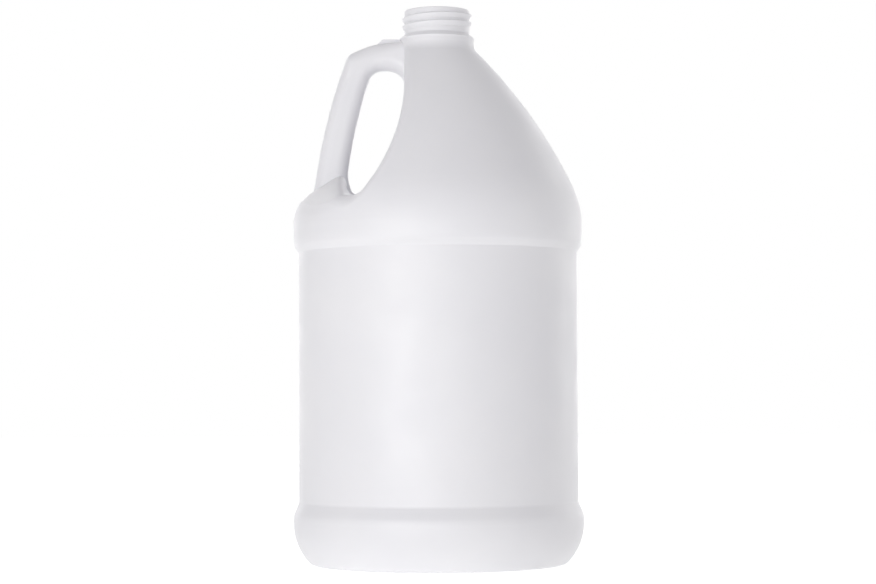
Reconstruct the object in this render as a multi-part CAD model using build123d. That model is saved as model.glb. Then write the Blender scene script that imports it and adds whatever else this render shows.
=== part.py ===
from build123d import *
import os
from math import cos, radians, sqrt, tan

# A round one-gallon jug, blown in one piece: a thin shell with a hollow grip beside an open neck.
# Millimetres, +Z up, standing on Z = 0 about the Z axis. The mould halves part on Y = 0 and the
# grip is on the -X side.

# Shell
wall = 0.9

# Base and heel
heel_radius = 30.0
heel_height = 22.0
standing_round = 5.0
ring_width = 9.3
push_up_slope = 9.0
push_up_rise = 4.0
push_up_crown = 1.5
base_round = 6.0
pinch_length = 70.0
pinch_width = 1.2
pinch_height = 0.8

# Side: two bumper bands with a label panel set in between them
bumper_radius = 76.9
panel_depth = 2.85
lower_band_top = 26.2
lower_step = 6.0
lower_band_round = 5.0
panel_height = 133.2
upper_step = 8.1
upper_band_round = 28.0
upper_band = 5.5
panel_round = 2.5

# Shoulder and dome
shoulder_radius = 50.0
shoulder_turn = 25.5
dome_height = 95.2

# Neck
waist_radius = 19.75
waist_height = 5.0
root_round = 6.5
bead_radius = 20.0
bead_height = 6.0
finish_radius = 17.4
finish_foot = 9.3
rim_height = 21.7
rim_round = 0.7
bore_radius = 15.0

# Hand recess beside the grip
recess_bite = 2.45
recess_straight = 22.2
recess_foot_depth = 1.5
recess_edge_round = 5.0
ledge_edge_round = 2.0
ledge_rise = 14.0
ledge_slope = 30.1

# Grip
grip_depth = 16.5
grip_width = 18.0
grip_edge_round = 6.2
grip_radius = 317.0
grip_foot_inset = 7.9
grip_corner_reach = 28.45
grip_corner_drop = 3.1
grip_corner_round = 7.0
arm_knee_reach = 15.75
arm_knee_rise = 2.1
arm_knee_round = 20.0
arm_slope = 9.0
finger_top_drop = 10.9
finger_top_round = 6.5
finger_neck_round = 10.0
finger_foot_round = 7.0
grip_overhang = 1.2
grip_overlap = 0.4
rib_width = 3.0
rib_reach = 9.2
rib_end = 4.0

# Heights worked out from the sizes above
panel_bottom = lower_band_top + lower_step
panel_top = panel_bottom + panel_height
upper_band_foot = panel_top + upper_step
shoulder_z = upper_band_foot + upper_band
root_z = shoulder_z + dome_height
rim_z = root_z + rim_height
ledge_z = shoulder_z + ledge_rise
bead_z = root_z + bead_height
finish_z = root_z + finish_foot
waist_z = root_z + waist_height

# Places worked out from the sizes above
recess_wall_x = recess_bite - waist_radius
ledge_radius = bumper_radius - shoulder_radius + sqrt(shoulder_radius**2 - ledge_rise**2)
grip_corner = (-waist_radius - grip_corner_reach, root_z - grip_corner_drop)
grip_foot = (grip_foot_inset - ledge_radius, ledge_z)
arm_knee = (-waist_radius - arm_knee_reach, root_z + arm_knee_rise)
finger_top = root_z - finger_top_drop

# Centre of the arcs that the two long sides of the grip follow
grip_across = Vector(*grip_corner) - Vector(*grip_foot)
grip_away = sqrt(grip_radius**2 - (grip_across.length / 2) ** 2)
grip_square = Vector(grip_across.Y, -grip_across.X).normalized()
grip_centre = Vector(*grip_foot) + grip_across / 2 + grip_square * grip_away

# Recess wall: upright at the neck, then an arc that runs out at the foot of the finger hole
recess_top_z = root_z - recess_straight
mound_arc = grip_radius - grip_depth + grip_overhang
foot_z = ledge_z - recess_foot_depth + finger_foot_round
foot_x = grip_centre.X - sqrt((mound_arc - finger_foot_round) ** 2 - (foot_z - grip_centre.Y) ** 2)
foot_run = recess_wall_x - foot_x
foot_span = foot_run**2 + (recess_top_z - foot_z) ** 2
recess_radius = (foot_span - finger_foot_round**2) / (2 * (foot_run - finger_foot_round))

# Reach of the cutting shapes, past every face of the jug
beyond = 2 * bumper_radius


def rounded(outline, corners):
    """Rounds the corners of a flat outline, each given as its point and radius."""
    for point, radius in corners:
        corner = outline.vertices().sort_by_distance(Vector(*point))[0]
        outline = fillet(corner, radius)
    return outline


def body_outline(inset):
    """Right half of the body's section, from the base to the top of the waist, moved in by the inset."""
    side = bumper_radius - inset
    panel = side - panel_depth
    heel_x = bumper_radius - heel_radius + sqrt((heel_radius - inset) ** 2 - (heel_height - inset) ** 2)
    ring_x = bumper_radius - heel_radius + sqrt(heel_radius**2 - heel_height**2) - ring_width
    push_up = (ring_x - push_up_slope, push_up_rise + inset)
    crown = (0, push_up_rise + push_up_crown + inset)
    root = (waist_radius - inset, root_z - inset / 2)
    top = waist_z - inset
    shoulder = JernArc((side, shoulder_z), (0, 1), shoulder_radius - inset, shoulder_turn)
    lines = [
        Line((0, top), crown),
        TangentArc(crown, push_up, tangent=(1, 0)),
        Polyline(push_up, (ring_x, inset), (heel_x, inset)),
        RadiusArc((heel_x, inset), (side, heel_height), inset - heel_radius),
        Polyline(
            (side, heel_height),
            (side, lower_band_top),
            (panel, panel_bottom),
            (panel, panel_top),
            (side, upper_band_foot),
            (side, shoulder_z),
        ),
        shoulder,
        TangentArc(shoulder @ 1, root, tangent=shoulder % 1),
        Polyline(root, (root[0], top), (0, top)),
    ]
    corners = [
        (push_up, base_round + inset),
        ((ring_x, inset), base_round - inset),
        ((heel_x, inset), standing_round - inset),
        ((side, lower_band_top), lower_band_round - inset),
        ((panel, panel_bottom), panel_round + inset),
        ((panel, panel_top), panel_round + inset),
        ((side, upper_band_foot), upper_band_round - inset),
        (root, root_round + inset),
    ]
    return rounded(make_face(lines), corners)


def turned_body(inset):
    """The round body without its recess."""
    return revolve(Plane.XZ * body_outline(inset), Axis.Z)


def beside_the_dome(inset):
    """Flat outline of the space left of the recess wall: upright at the neck, curving out below."""
    centre = (recess_wall_x - recess_radius, recess_top_z)
    middle = (recess_wall_x + inset - recess_radius / 2, centre[1] + beyond / 2)
    upright = Pos(*middle) * Rectangle(recess_radius, beyond)
    return upright + Pos(*centre) * Circle(recess_radius + inset)


def ledge(inset):
    """Cone that the floor of the recess lies on, rising from the shoulder towards the axis."""
    slope = tan(radians(ledge_slope))
    apex_z = ledge_z + ledge_radius * slope - inset / cos(radians(ledge_slope))
    low_z = apex_z - beyond * slope
    section = Polyline((0, apex_z), (beyond, low_z), (0, low_z), close=True)
    return revolve(Plane.XZ * make_face(section), Axis.Z)


def right_of_grip(depth):
    """Flat outline of everything right of a grip of the given depth."""
    return Pos(grip_centre) * Circle(grip_radius - depth)


def passage(inset):
    """Flat outline of the way through between the grip's mound and the recess wall, open at the top."""
    outline = beside_the_dome(inset) & right_of_grip(grip_depth - grip_overhang - inset)
    return rounded(outline, [((foot_x, shoulder_z), finger_foot_round + inset)])


def over_the_ledge(inset):
    """Space above the ledge, from the left as far as a slanting plane within the passage."""
    edge = Line((foot_x, foot_z), (recess_wall_x - finger_neck_round / 2, root_z))
    low = edge @ 0 - (edge % 0) * ledge_rise
    high = edge @ 1 + (edge % 1) * beyond
    section = Polyline(low, high, (-beyond, high.Y), (-beyond, low.Y), close=True)
    return extrude(Plane.XZ * make_face(section), beyond, both=True) - ledge(inset)


def lies_on(edge, shapes):
    """Whether the middle of an edge lies on one of the shapes."""
    middle = Vertex(*(edge @ 0.5))
    return min(middle.distance_to(shape) for shape in shapes) < 1e-4


def recessed_body(inset):
    """The body with the hand recess let into its dome and the edges of its wall and ledge rounded."""
    body = turned_body(inset)
    skin = [face for face in body.faces() if face.geom_type != GeomType.PLANE]
    space = extrude(Plane.XZ * passage(inset), beyond, both=True) + over_the_ledge(inset)
    floor = space.faces().filter_by(GeomType.CONE)
    cut = body - space
    rim = [edge for edge in cut.edges() if lies_on(edge, skin) and not lies_on(edge, body.edges())]
    cut = fillet([edge for edge in rim if not lies_on(edge, floor)], recess_edge_round - inset)
    return fillet([edge for edge in cut.edges() if lies_on(edge, floor)], ledge_edge_round - inset)


def finger_hole(inset):
    """Flat outline of the opening in the grip's bar, reaching a little into the recess wall."""
    under_arm = Pos(-beyond / 2, finger_top + inset - beyond / 2) * Rectangle(beyond, beyond)
    hole = beside_the_dome(inset + grip_overlap) & right_of_grip(grip_depth - inset) & under_arm
    corners = [
        ((recess_wall_x, finger_top), finger_neck_round + inset),
        ((arm_knee[0], finger_top), finger_top_round + inset),
        ((foot_x, shoulder_z), finger_foot_round + inset),
    ]
    return rounded(hole, corners)


def grip_outline(inset):
    """Flat outline of the grip and its arm, run on into the neck and the shoulder."""
    knee = (arm_knee[0], arm_knee[1] - inset)
    rise = (arm_knee[1] - grip_corner[1]) / (arm_knee[0] - grip_corner[0])
    far_left = (-beyond, knee[1] - (beyond + knee[0]) * rise)
    arm_end = (-bore_radius / 2, knee[1] - (bore_radius / 2 + knee[0]) * tan(radians(arm_slope)))
    under = Polyline(far_left, knee, arm_end, (arm_end[0], shoulder_z), (-beyond, shoulder_z), close=True)
    outline = make_face(under) & right_of_grip(inset)
    return rounded(outline, [(grip_corner, grip_corner_round - inset), (knee, arm_knee_round - inset)])


def grip(inset):
    """The grip and its arm as one rounded bar round the finger hole."""
    flat = grip_outline(inset) - finger_hole(inset)
    half_width = grip_width / 2 - inset
    bar = extrude(Plane.XZ * flat, half_width, both=True)
    ends = bar.faces().sort_by(Axis.X)[-1].edges() + bar.faces().sort_by(Axis.Z)[0].edges()
    sides = [edge for edge in bar.edges() - ends if abs(abs((edge @ 0.5).Y) - half_width) < 1e-4]
    return fillet(sides, grip_edge_round - inset)


def form(inset):
    """The whole jug below its finish as a solid, moved in by the inset."""
    return recessed_body(inset) + grip(inset)


def neck():
    """Bead, flare and plain finish of the neck, solid to the axis."""
    section = Polyline(
        (0, root_z),
        (waist_radius, root_z),
        (waist_radius, waist_z),
        (bead_radius, bead_z),
        (finish_radius, finish_z),
        (finish_radius, rim_z),
        (0, rim_z),
        close=True,
    )
    outline = rounded(make_face(section), [((finish_radius, rim_z), rim_round)])
    return revolve(Plane.XZ * outline, Axis.Z)


def bore():
    """Way in through the neck, opening out below the finish."""
    throat_radius = waist_radius - wall
    section = Polyline(
        (0, root_z),
        (throat_radius - wall, root_z),
        (throat_radius - wall, waist_z - wall),
        (bore_radius, finish_z),
        (bore_radius, rim_z + wall),
        (0, rim_z + wall),
        close=True,
    )
    return revolve(Plane.XZ * make_face(section), Axis.Z)


def rib():
    """Web left by the mould in the corner between the neck and the arm."""
    tip_x = -waist_radius - rib_reach
    section = Polyline(
        (-finish_radius, bead_z),
        (tip_x, bead_z),
        (tip_x - rib_end, arm_knee[1]),
        (-finish_radius, arm_knee[1]),
        close=True,
    )
    return extrude(Plane.XZ * make_face(section), rib_width / 2, both=True)


def pinch_off(body):
    """Ridge that the mould pinches across the push-up of the base."""
    strip = Box(pinch_length, pinch_width, 2 * (push_up_rise + push_up_crown))
    return strip & (Pos(0, 0, -pinch_height) * body)


outside = form(0)
inside = form(wall)
jug = outside + neck() + rib() + pinch_off(outside) - (inside + bore())
os.makedirs("parts", exist_ok=True)
export_step(jug, "parts/jug.step")
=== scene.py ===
from math import cos, pi, radians, sin

import bmesh
import bpy
import numpy as np
from mathutils import Matrix, Vector


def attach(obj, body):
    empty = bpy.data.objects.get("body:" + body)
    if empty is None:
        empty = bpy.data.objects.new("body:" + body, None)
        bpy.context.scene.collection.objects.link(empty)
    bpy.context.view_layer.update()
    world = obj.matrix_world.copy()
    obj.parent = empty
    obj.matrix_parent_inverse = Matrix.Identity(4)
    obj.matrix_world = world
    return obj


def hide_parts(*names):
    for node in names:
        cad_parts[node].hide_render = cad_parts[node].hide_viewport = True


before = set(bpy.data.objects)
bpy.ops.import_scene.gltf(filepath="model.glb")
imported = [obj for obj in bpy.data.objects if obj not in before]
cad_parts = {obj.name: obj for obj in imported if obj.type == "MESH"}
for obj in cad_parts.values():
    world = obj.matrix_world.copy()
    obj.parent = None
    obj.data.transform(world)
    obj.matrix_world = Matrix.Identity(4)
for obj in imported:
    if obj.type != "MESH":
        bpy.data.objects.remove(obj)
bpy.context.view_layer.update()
scene = bpy.context.scene


# Node helpers
NOISE_MIDDLE = (0.3, 0.7)


def new_tree(owner):
    """Empties the node tree of a material or world and returns it."""
    owner.use_nodes = True
    owner.node_tree.nodes.clear()
    return owner.node_tree


def add_node(tree, kind, settings=None, inputs=None):
    """Adds a node, sets its properties and its sockets, and links sockets given as outputs."""
    node = tree.nodes.new(kind)
    for name, value in (settings or {}).items():
        setattr(node, name, value)
    for name, value in (inputs or {}).items():
        if isinstance(value, bpy.types.NodeSocket):
            tree.links.new(value, node.inputs[name])
        else:
            node.inputs[name].default_value = value
    return node


def noise(tree, where, scale, detail):
    """Noise factor at a scale in cells per metre."""
    values = {"Vector": where, "Scale": scale, "Detail": detail}
    return add_node(tree, "ShaderNodeTexNoise", inputs=values).outputs["Fac"]


def larger(tree, first, second):
    """The larger of two numbers."""
    node = add_node(tree, "ShaderNodeMath", {"operation": "MAXIMUM"}, {0: first, 1: second})
    return node.outputs[0]


def spread(tree, factor, low, high):
    """Maps the middle of a noise factor on to a range of values."""
    start, end = NOISE_MIDDLE
    values = {"Value": factor, "From Min": start, "From Max": end, "To Min": low, "To Max": high}
    return add_node(tree, "ShaderNodeMapRange", inputs=values).outputs["Result"]


def blend_colours(tree, factor, first, second):
    """Colour between two colours."""
    values = {0: factor, 6: first, 7: second}
    return add_node(tree, "ShaderNodeMix", {"data_type": "RGBA"}, values).outputs[2]


def bump(tree, strength, distance, height, normal=None):
    """Normal that is tilted by a height, on top of another normal if there is one."""
    values = {"Strength": strength, "Distance": distance, "Height": height}
    if normal is not None:
        values["Normal"] = normal
    return add_node(tree, "ShaderNodeBump", inputs=values).outputs["Normal"]


# White polyethylene: milky, satin, faintly uneven as blown walls are
# Noise: cells per metre and detail. Bumps: strength and distance
CLOUD = (14.0, 3.0)
FLOW = (70.0, 2.0)
GRAIN = (1500.0, 2.0)
FLOW_BUMP = (0.25, 0.0006)
GRAIN_BUMP = (0.10, 0.0001)
WHITE_LOW = (0.80, 0.80, 0.83, 1)
WHITE_HIGH = (0.84, 0.838, 0.86, 1)
SATIN = (0.36, 0.46)


def white_plastic(name):
    """Material of the jug."""
    material = bpy.data.materials.new(name)
    tree = new_tree(material)
    where = add_node(tree, "ShaderNodeTexCoord").outputs["Object"]
    cloud = noise(tree, where, *CLOUD)
    flow = noise(tree, where, *FLOW)
    grain = noise(tree, where, *GRAIN)
    ripple = bump(tree, *FLOW_BUMP, flow)
    shader = add_node(
        tree,
        "ShaderNodeBsdfPrincipled",
        inputs={
            "Base Color": blend_colours(tree, spread(tree, cloud, 0.0, 1.0), WHITE_LOW, WHITE_HIGH),
            "Roughness": spread(tree, flow, *SATIN),
            "Normal": bump(tree, *GRAIN_BUMP, grain, ripple),
            "IOR": 1.5,
            "Subsurface Weight": 0.12,
            "Subsurface Radius": (1.0, 0.95, 0.9),
            "Subsurface Scale": 0.003,
        },
    )
    add_node(tree, "ShaderNodeOutputMaterial", inputs={"Surface": shader.outputs["BSDF"]})
    return material


jug_white = white_plastic("jug_white")


# Skin of the jug: the solid's surface with small smooth moves, in metres unless said otherwise.
# Four heights or places in a row are where a move starts, is full, is last full and has ended.

# Shoulder: the arc that points on its skin stay on
SHOULDER_Z = 0.179
SHOULDER_ROUND = 0.050
SHOULDER_CENTRE = 0.0269
SHOULDER_RISE = 0.03
SKIN_RADIUS = (0.066, 0.072)
LEAST_RADIUS = 0.001

# Ledge: it dips towards both sides of the grip
LEDGE_DIP = 0.0045
LEDGE_X = (-0.077, -0.066, -0.052, -0.040)
LEDGE_Z = (0.179, 0.191, 0.200, 0.212)
LEDGE_SIDE = (0.012, 0.050)

# Outer corner of the ledge: it rolls over into the shoulder
CORNER_PULL = 0.0022
CORNER_SLANT = 0.7
CORNER_RADIUS = 0.0752
CORNER_Z = 0.1935
CORNER_REACH = 0.0055
CORNER_SIDE = (0.030, 0.055)
CORNER_OUT = (0.040, 0.060)

# Foot of the finger hole in mm: x, z, and how far the skin moves there in x and in z
FOOT_MOVES = (
    (-31.7, 211.8, 0.3, 0.0),
    (-36.0, 205.4, 0.7, 0.0),
    (-39.7, 200.6, 0.8, 0.0),
    (-42.2, 198.0, 1.7, 0.6),
    (-44.3, 196.9, 2.5, 1.4),
    (-46.7, 196.3, 3.0, 1.6),
    (-49.1, 197.4, 3.2, 1.4),
    (-49.3, 200.0, 2.8, 0.4),
    (-48.8, 203.0, 1.6, 0.0),
    (-48.2, 207.0, 0.5, 0.0),
    (-52.5, 201.5, 1.6, 1.0),
    (-46.5, 192.4, 3.4, 2.3),
    (-43.5, 194.0, 2.8, 2.0),
    (-52.0, 191.5, 1.6, 1.8),
    (-60.0, 198.0, 0.0, 0.0),
    (-59.0, 187.0, 0.0, 0.0),
    (-50.0, 184.5, 0.0, 0.0),
    (-40.0, 188.0, 0.0, 0.0),
    (-32.0, 198.0, 0.0, 0.0),
    (-56.0, 210.0, 0.0, 0.0),
)
FOOT_REACH = 4.5
FOOT_EASE = 0.02
FOOT_BOX = ((-0.080, -0.072, 0.178), (-0.026, 0.072, 0.214))
FOOT_X = (-0.080, -0.072, -0.030, -0.026)
FOOT_Z = (0.178, 0.183, 0.210, 0.214)
FOOT_GRID = (0.002, 0.004, 0.0015)
MM = 1000

# Grip: its outer and inner edges by height, and how far each is drawn in
GRIP_Z = (0.2027, 0.2113, 0.2198, 0.2283, 0.2368, 0.2454, 0.2539, 0.2624, 0.2709)
GRIP_OUTER = (-0.0660, -0.0647, -0.0631, -0.0613, -0.0593, -0.0570, -0.0544, -0.0516, -0.0481)
GRIP_INNER = (-0.0489, -0.0475, -0.0458, -0.0440, -0.0418, -0.0393, -0.0365, -0.0335, -0.0300)
OUTER_TRIM = 0.0006
OUTER_TRIM_Z = (0.196, 0.203, 0.268, 0.276)
INNER_TRIM = (0.0, 0.0005, 0.0006, 0.0009, 0.0014, 0.0013, 0.0)
INNER_TRIM_Z = (0.2155, 0.2283, 0.2368, 0.2454, 0.2539, 0.2582, 0.2660)
GRIP_FADE = 0.010
GRIP_SIDE = (0.017, 0.025)

# Bands: heights of their steps on the solid and on the skin, the lower softer, the upper tighter
LOWER_FROM = (0.0220, 0.0251, 0.0272, 0.0284, 0.0304, 0.0317, 0.0330, 0.0600)
LOWER_TO = (0.0220, 0.0245, 0.0274, 0.0289, 0.0310, 0.0325, 0.0341, 0.0600)
LOWER_CUTS = (0.0278, 0.0284, 0.0290, 0.0297, 0.0304, 0.0310)
UPPER_FROM = (0.1500, 0.1648, 0.1690, 0.1736, 0.1790)
UPPER_TO = (0.1500, 0.1648, 0.1669, 0.1695, 0.1790)
BAND_FROM = LOWER_FROM + UPPER_FROM
BAND_TO = LOWER_TO + UPPER_TO
BAND_RADIUS = 0.070

# Neck: heights on the solid and on the skin, where the waist turns sharply into the finish
NECK_FROM = (0.2760, 0.2802, 0.2835, 0.2880, 0.2960)
NECK_TO = (0.2760, 0.2799, 0.2823, 0.2877, 0.2952)
NECK_REACH = 0.036

WELD = 1e-7
NUDGE = 0.00005


def ease(values, start, end):
    """Rises smoothly from zero at the start to one at the end."""
    share = np.clip((values - start) / (end - start), 0, 1)
    return share * share * (3 - 2 * share)


def hump(values, low, foot, head, high):
    """One between the foot and the head, easing to zero at the low and high ends."""
    return ease(values, low, foot) * (1 - ease(values, head, high))


def shoulder_radius(z):
    """Radius of the shoulder's skin at a height."""
    rise = np.clip(z - SHOULDER_Z, 0, SHOULDER_RISE)
    return SHOULDER_CENTRE + np.sqrt(SHOULDER_ROUND**2 - rise**2)


def foot_move(x, z):
    """How far the foot of the finger hole moves in x and z, spread smoothly from a few places."""
    table = np.array(FOOT_MOVES)
    places = table[:, :2]
    gaps = np.linalg.norm(places[:, None] - places[None], axis=2)
    spreads = np.exp(-((gaps / FOOT_REACH) ** 2)) + FOOT_EASE * np.eye(len(table))
    shares = np.linalg.solve(spreads, table[:, 2:])
    moves = np.zeros((len(x), 2))
    for (centre_x, centre_z), share in zip(places, shares):
        gap = (MM * x - centre_x) ** 2 + (MM * z - centre_z) ** 2
        moves += np.exp(-gap / FOOT_REACH**2)[:, None] * share
    window = hump(x, *FOOT_X) * hump(z, *FOOT_Z)
    return moves[:, 0] * window / MM, moves[:, 1] * window / MM


def grip_trim(x, side, z):
    """How far the grip's skin moves in x to slim both of its edges."""
    outer = np.interp(z, GRIP_Z, GRIP_OUTER)
    inner = np.interp(z, GRIP_Z, GRIP_INNER)
    share = np.clip((x - outer) / (inner - outer), 0, 1)
    near = (1 - ease(x, inner, inner + GRIP_FADE)) * (1 - ease(side, *GRIP_SIDE))
    from_outer = OUTER_TRIM * hump(z, *OUTER_TRIM_Z)
    from_inner = np.interp(z, INNER_TRIM_Z, INNER_TRIM)
    return near * ((1 - share) * from_outer - share * from_inner)


def softened_foot(points):
    """Where points about the foot of the grip lie on the finished skin."""
    x, y, z = points[:, 0], points[:, 1], points[:, 2]
    radius = np.hypot(x, y)
    side = np.abs(y)
    on_skin = ease(radius, *SKIN_RADIUS)
    dip = LEDGE_DIP * hump(x, *LEDGE_X) * hump(z, *LEDGE_Z) * ease(side, *LEDGE_SIDE)
    gap = (radius - CORNER_RADIUS) ** 2 + (z - CORNER_Z) ** 2
    roll = CORNER_SLANT * CORNER_PULL * np.exp(-gap / CORNER_REACH**2)
    roll = roll * (1 - ease(side, *CORNER_SIDE)) * ease(-x, *CORNER_OUT)
    move_x, move_z = foot_move(x, z)
    new_x = x + move_x
    new_z = z - dip - roll + move_z
    # Points on the outer skin slide along it
    depth = np.where(on_skin > 0, np.sqrt(np.maximum(radius**2 - new_x**2, 0)), side)
    new_y = np.sign(y) * (side + on_skin * (depth - side))
    widen = on_skin * (shoulder_radius(new_z) - shoulder_radius(z)) - roll
    grow = 1 + widen / np.maximum(radius, LEAST_RADIUS)
    return np.stack([new_x * grow, new_y * grow, new_z], 1)


def soften(points):
    """Where points of the solid's surface lie on the finished skin."""
    x, y, z = points[:, 0], points[:, 1], points[:, 2]
    radius = np.hypot(x, y)
    in_bands = (radius > BAND_RADIUS) & (z > BAND_FROM[0]) & (z < BAND_FROM[-1])
    in_neck = (radius < NECK_REACH) & (z > NECK_FROM[0])
    new_z = np.where(in_bands, np.interp(z, BAND_FROM, BAND_TO), z)
    new_z = np.where(in_neck, np.interp(z, NECK_FROM, NECK_TO), new_z)
    in_foot = np.all((points > FOOT_BOX[0]) & (points < FOOT_BOX[1]), 1)
    moved = np.where(in_foot[:, None], softened_foot(points), np.stack([x, y, new_z], 1))
    moved[:, 0] += grip_trim(x, np.abs(y), z)
    return moved


def softened_normals(points, normals):
    """Normals of the finished skin, from how the points about each one move."""
    columns = []
    for nudge in NUDGE * np.eye(3):
        columns.append((soften(points + nudge) - soften(points - nudge)) / (2 * NUDGE))
    turns = np.transpose(np.stack(columns, 2), (0, 2, 1))
    turned = np.linalg.solve(turns, normals[:, :, None])[:, :, 0]
    return turned / np.linalg.norm(turned, axis=1)[:, None]


def cut_faces(cells, faces, planes):
    """Cuts faces along planes that are given as a place and a normal."""
    edges = {edge for face in faces for edge in face.edges}
    corners = {corner for face in faces for corner in face.verts}
    pieces = faces + list(edges) + list(corners)
    for place, normal in planes:
        cut = bmesh.ops.bisect_plane(
            cells, geom=pieces, dist=WELD, plane_co=place, plane_no=normal
        )
        pieces = cut["geom"]


def cut_foot(cells):
    """Cuts the faces about the foot of the grip by a fine grid."""
    low, high = Vector(FOOT_BOX[0]), Vector(FOOT_BOX[1])
    faces = []
    for face in cells.faces:
        spans = list(zip(*(corner.co for corner in face.verts)))
        if all(max(spans[n]) > low[n] and min(spans[n]) < high[n] for n in range(3)):
            faces.append(face)
    planes = []
    for axis, pitch in enumerate(FOOT_GRID):
        across = Vector((0, 0, 0))
        across[axis] = 1
        for n in range(1, int((high[axis] - low[axis]) / pitch)):
            planes.append((across * (low[axis] + n * pitch), across))
    cut_faces(cells, faces, planes)


def cut_lower_step(cells):
    """Cuts the step of the lower band into rings."""
    faces = []
    for face in cells.faces:
        heights = [corner.co.z for corner in face.verts]
        if min(heights) < LOWER_CUTS[0] and LOWER_CUTS[-1] < max(heights) < LOWER_FROM[-1]:
            faces.append(face)
    cut_faces(cells, faces, [((0, 0, z), (0, 0, 1)) for z in LOWER_CUTS])


def jug_skin(node, name):
    """Copy of the node's mesh, cut finely where it bends most, and softened."""
    mesh = node.data.copy()
    mesh.name = name
    kept = mesh.attributes.new("kept_normal", "FLOAT_VECTOR", "CORNER")
    kept.data.foreach_set("vector", np.array([n.vector for n in mesh.corner_normals]).ravel())
    cells = bmesh.new()
    cells.from_mesh(mesh)
    bmesh.ops.remove_doubles(cells, verts=cells.verts, dist=WELD)
    cut_foot(cells)
    cut_lower_step(cells)
    bmesh.ops.triangulate(cells, faces=cells.faces)
    cells.to_mesh(mesh)
    cells.free()
    points = np.empty(len(mesh.vertices) * 3)
    mesh.vertices.foreach_get("co", points)
    points = points.reshape(-1, 3)
    normals = np.empty(len(mesh.loops) * 3)
    mesh.attributes["kept_normal"].data.foreach_get("vector", normals)
    corner_points = np.empty(len(mesh.loops), dtype=int)
    mesh.loops.foreach_get("vertex_index", corner_points)
    normals = softened_normals(points[corner_points], normals.reshape(-1, 3))
    mesh.vertices.foreach_set("co", soften(points).ravel())
    mesh.attributes.remove(mesh.attributes["kept_normal"])
    mesh.polygons.foreach_set("use_smooth", [True] * len(mesh.polygons))
    mesh.normals_split_custom_set(normals)
    mesh.update()
    return mesh


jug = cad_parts["jug"]
jug.data.materials.clear()
jug.data.materials.append(jug_white)
skin = bpy.data.objects.new("jug_skin", jug_skin(jug, "jug_skin"))
scene.collection.objects.link(skin)
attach(skin, "root")
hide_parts("jug")


# Screw thread on the neck: a right-hand ridge that rises out of the finish and fades back into it
THREAD_PITCH = 0.0042
THREAD_ROOT = 0.0172
THREAD_CREST = 0.0186
THREAD_START = radians(-262)
THREAD_END = radians(400)
THREAD_FADE = radians(40)
THREAD_Z_AT_RIGHT = 0.2884
THREAD_STEPS = 300
# Height along the neck and share of the crest, with a long lower flank
THREAD_SECTION = (
    (-0.0030, 0.0),
    (-0.0020, 0.22),
    (-0.0012, 0.55),
    (-0.0005, 0.92),
    (0.0, 1.0),
    (0.0004, 0.9),
    (0.0007, 0.45),
    (0.0009, 0.0),
)


def thread_mesh(name):
    """The ridge, closed at both ends."""
    points = []
    faces = []
    count = len(THREAD_SECTION)
    for step in range(THREAD_STEPS + 1):
        angle = THREAD_START + (THREAD_END - THREAD_START) * step / THREAD_STEPS
        height = ease(min(angle - THREAD_START, THREAD_END - angle), 0, THREAD_FADE)
        middle = THREAD_Z_AT_RIGHT + THREAD_PITCH * angle / (2 * pi)
        for across, up in THREAD_SECTION:
            radius = THREAD_ROOT + (THREAD_CREST - THREAD_ROOT) * up * height
            points.append((radius * cos(angle), radius * sin(angle), middle + across))
    for step in range(THREAD_STEPS):
        for n in range(count):
            a = step * count + n
            b = step * count + (n + 1) % count
            faces.append((a, a + count, b + count, b))
    faces.append(tuple(range(count)))
    faces.append(tuple(reversed(range(THREAD_STEPS * count, (THREAD_STEPS + 1) * count))))
    mesh = bpy.data.meshes.new(name)
    mesh.from_pydata(points, [], faces)
    for polygon in mesh.polygons:
        polygon.use_smooth = True
    return mesh


thread = bpy.data.objects.new("neck_thread", thread_mesh("neck_thread"))
scene.collection.objects.link(thread)
thread.data.materials.append(jug_white)
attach(thread, "root")


# Floor and surround: white to the camera and to gloss, and the floor keeps a soft shadow; to other
# rays the floor also glows, a painted light from below on the jug
FLOOR_SIZE = 8.0
FLOOR_BOUNCE = (0.82, 0.82, 0.82, 1)
FLOOR_SHADE = (0.40, 0.40, 0.40, 1)
# Glow that the floor gives the jug from below, though no lamp is there: painted under-light
FLOOR_UNDERGLOW = ((1, 1, 0.97, 1), 0.39)
FLOOR_GLOW = ((1, 1, 1, 1), 0.9)
ROOM_LIGHT = ((0.985, 0.96, 1.0, 1), 0.38)
BACKGROUND = ((1, 1, 1, 1), 1.0)


def seen_directly(tree):
    """One for camera, glossy and transmission rays, zero for the others."""
    path = add_node(tree, "ShaderNodeLightPath").outputs
    seen = larger(tree, path["Is Camera Ray"], path["Is Glossy Ray"])
    return larger(tree, seen, path["Is Transmission Ray"])


def shining(tree, kind, colour, strength):
    """Shader that gives off light."""
    return add_node(tree, kind, inputs={"Color": colour, "Strength": strength}).outputs[0]


def lit_diffuse(tree, colour, light):
    """Diffuse shader with some light of its own."""
    diffuse = add_node(tree, "ShaderNodeBsdfDiffuse", inputs={"Color": colour}).outputs[0]
    glow = shining(tree, "ShaderNodeEmission", *light)
    return add_node(tree, "ShaderNodeAddShader", inputs={0: diffuse, 1: glow}).outputs[0]


def by_ray(tree, others, seen):
    """One shader for rays that see the surface directly, and another for the rest."""
    values = {0: seen_directly(tree), 1: others, 2: seen}
    return add_node(tree, "ShaderNodeMixShader", inputs=values).outputs[0]


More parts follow.
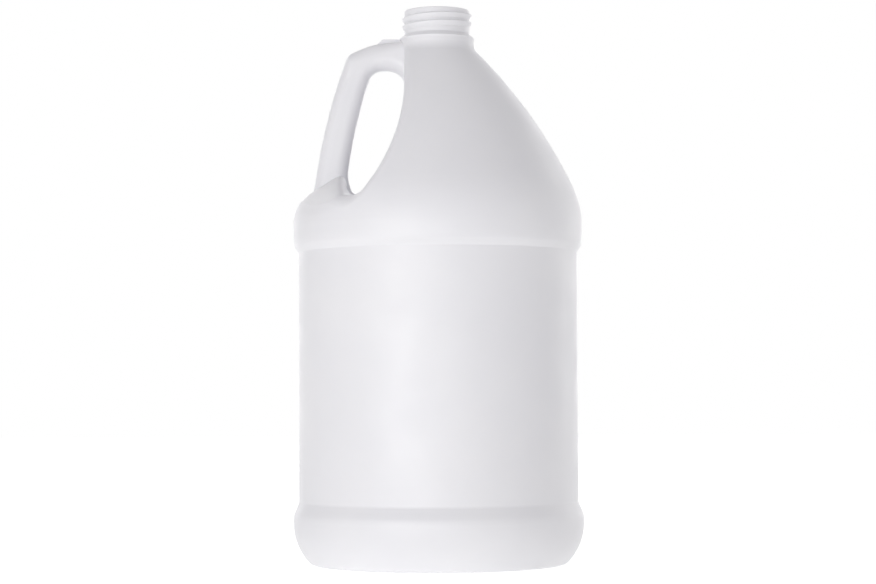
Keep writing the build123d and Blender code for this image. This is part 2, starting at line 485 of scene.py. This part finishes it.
half = FLOOR_SIZE / 2
floor_corners = [(-half, -half, 0), (half, -half, 0), (half, half, 0), (-half, half, 0)]
floor_mesh = bpy.data.meshes.new("floor")
floor_mesh.from_pydata(floor_corners, [], [(0, 1, 2, 3)])
floor = bpy.data.objects.new("floor", floor_mesh)
scene.collection.objects.link(floor)
floor_white = bpy.data.materials.new("floor_white")
tree = new_tree(floor_white)
# Rays that don't see the floor directly get its real diffuse bounce plus a glow: painted light from
# below on the jug
bounce_and_glow = lit_diffuse(tree, FLOOR_BOUNCE, FLOOR_UNDERGLOW)
seen = lit_diffuse(tree, FLOOR_SHADE, FLOOR_GLOW)
add_node(tree, "ShaderNodeOutputMaterial", inputs={"Surface": by_ray(tree, bounce_and_glow, seen)})
floor_mesh.materials.append(floor_white)

world = bpy.data.worlds.new("surround")
scene.world = world
tree = new_tree(world)
room = shining(tree, "ShaderNodeBackground", *ROOM_LIGHT)
white = shining(tree, "ShaderNodeBackground", *BACKGROUND)
add_node(tree, "ShaderNodeOutputWorld", inputs={"Surface": by_ray(tree, room, white)})

# Soft lamps: name, place, target, size, watts and colour
LAMPS = (
    ("left_strip", (-0.65, -1.04, 0.07), (0, 0, 0.06), (0.78, 0.143), 3.2, (1.0, 0.995, 0.98)),
    ("front_strip", (-0.2, -1.3, 0.07), (0, 0, 0.06), (1.3, 0.163), 3.55, (1.0, 1.0, 1.0)),
    ("overhead", (0, 0, 2.0), (0, 0, 0.15), (1.5, 1.5), 3.8, (1.0, 1.0, 0.97)),
    ("back_right", (1.4, 1.0, 0.5), (0, 0, 0.15), (0.8, 1.4), 4.0, (1.0, 1.0, 0.98)),
    ("backdrop", (0, 1.6, 0.6), (0, 0, 0.15), (2.5, 1.5), 9.0, (1.0, 1.0, 1.0)),
)
for name, place, target, size, watts, colour in LAMPS:
    lamp = bpy.data.lights.new(name, "AREA")
    lamp.shape = "RECTANGLE"
    lamp.size, lamp.size_y = size
    lamp.energy = watts
    lamp.color = colour
    holder = bpy.data.objects.new(name, lamp)
    holder.location = place
    aim = Vector(target) - Vector(place)
    holder.rotation_euler = aim.to_track_quat("-Z", "Y").to_euler()
    holder.visible_camera = False
    scene.collection.objects.link(holder)

# Camera at the photograph's viewpoint
CAMERA_DISTANCE = 1.237
CAMERA_HEIGHT = 0.0885
CAMERA_PITCH = 2.59
CAMERA_ROLL = 0.24
LENS = 95.4
SENSOR = 36.0
camera = bpy.data.cameras.new("camera")
camera.lens = LENS
camera.sensor_width = SENSOR
camera.sensor_fit = "HORIZONTAL"
camera_holder = bpy.data.objects.new("camera", camera)
camera_holder.matrix_world = (
    Matrix.Translation((0, -CAMERA_DISTANCE, CAMERA_HEIGHT))
    @ Matrix.Rotation(radians(90 + CAMERA_PITCH), 4, "X")
    @ Matrix.Rotation(radians(-CAMERA_ROLL), 4, "Z")
)
scene.collection.objects.link(camera_holder)
scene.camera = camera_holder
scene.view_settings.view_transform = "Standard"
